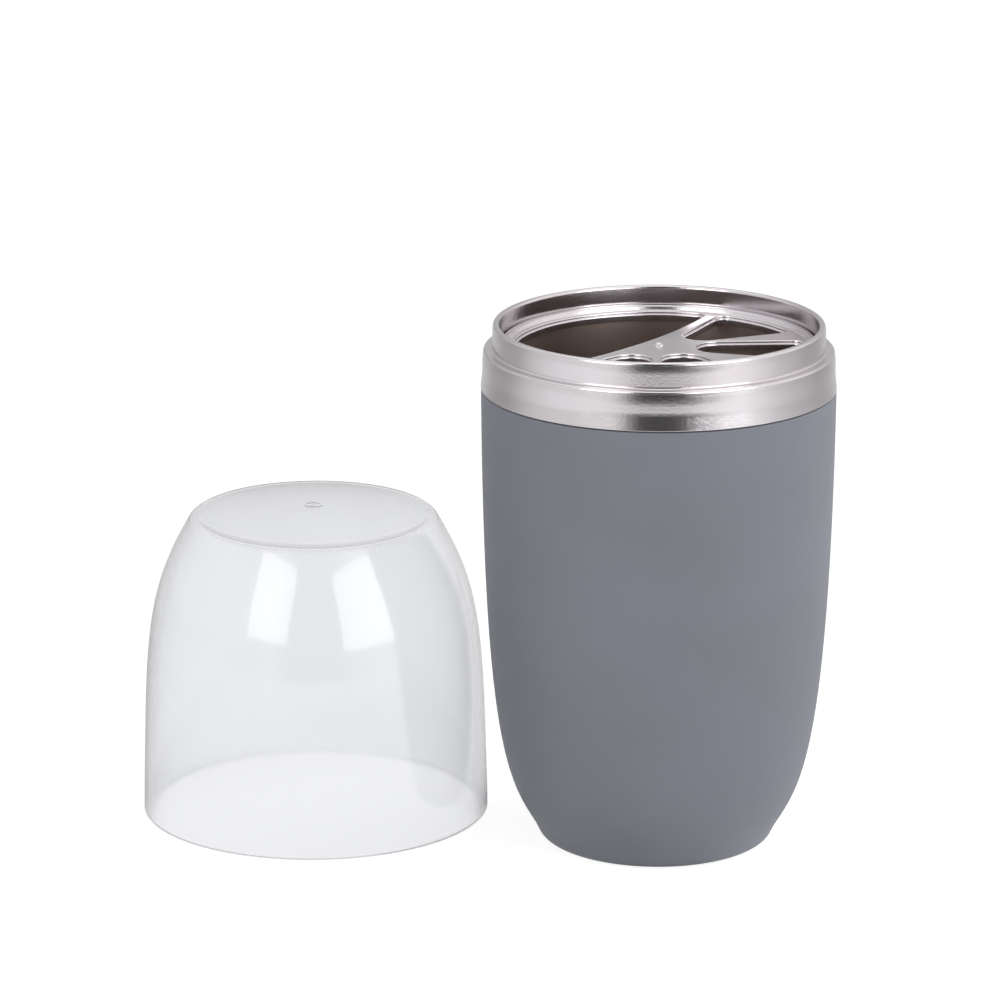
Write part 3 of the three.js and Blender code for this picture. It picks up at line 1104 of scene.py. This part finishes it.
def make_world():
    """White to the camera, soft to matt surfaces, and a bright room with a dark front to gloss."""
    world = bpy.data.worlds.new("studio")
    bpy.context.scene.world = world
    f = Finish(world)
    side, ahead, up = f.parts("Generated")
    bearing = f.bearing(side, ahead)
    gap = bearing.between(*GAP_STARTS) * (1 - bearing.between(*GAP_ENDS))
    gap = gap * (1 - up.smooth(*GAP_TOP))
    room = MIRRORED_LIGHT + side * MIRRORED_LIGHT_SIDE
    room = room + up.smooth(*ROOM_TOP_UP) * MIRRORED_LIGHT_TOP
    back = ahead.smooth(*ROOM_BACK_AHEAD) * (1 - up.smooth(*ROOM_BACK_UP))
    room = room * (1 - back * MIRRORED_LIGHT_BACK)
    mirrored = room + gap * (MIRRORED_GAP - room)
    right = side.smooth(*SOFT_RIGHT_ACROSS) * ahead.smooth(*SOFT_RIGHT_AHEAD)
    soft = SOFT_LIGHT + right * SOFT_LIGHT_RIGHT
    soft = soft + (0 - side).smooth(*SOFT_LEFT_ACROSS) * SOFT_LIGHT_LEFT
    strength = soft + seen(f, "Is Glossy Ray") * (mirrored - soft)
    strength = strength + seen(f, "Is Transmission Ray") * (1 - strength)
    strength = strength + seen(f, "Is Camera Ray") * (1 - strength)
    f.output(f.node("ShaderNodeBackground", {}, {"Color": WHITE, "Strength": strength}))


def make_panel(name, bearing, elevation, width, height, glow):
    """A soft light panel that faces the object."""
    turn, rise = radians(bearing), radians(elevation)
    away = Vector((sin(turn) * cos(rise), -cos(turn) * cos(rise), sin(rise)))
    data = bpy.data.lights.new(name, "AREA")
    data.shape, data.size, data.size_y = "RECTANGLE", width, height
    data.energy = glow * pi * width * height
    lamp = bpy.data.objects.new(name, data)
    bpy.context.collection.objects.link(lamp)
    lamp.location = PANEL_TARGET + away * PANEL_DISTANCE
    lamp.rotation_euler = away.to_track_quat("Z", "Y").to_euler()
    lamp.visible_camera = False
    lamp.visible_transmission = False


CAMERA_PLACE = (-0.04008, -1.30384, 0.45515)
CAMERA_PITCH = 15.671
CAMERA_LENS = 191.8
CAMERA_SENSOR = 36


def make_camera():
    """The camera, in front of the object and looking down a little."""
    data = bpy.data.cameras.new("camera")
    data.lens, data.sensor_width = CAMERA_LENS, CAMERA_SENSOR
    camera = bpy.data.objects.new("camera", data)
    bpy.context.collection.objects.link(camera)
    camera.location = CAMERA_PLACE
    camera.rotation_euler = (radians(90 - CAMERA_PITCH), 0, 0)
    bpy.context.scene.camera = camera


make_floor()
make_world()
for panel in PANELS:
    make_panel(**panel)
make_camera()
bpy.context.scene.view_settings.view_transform = "Standard"
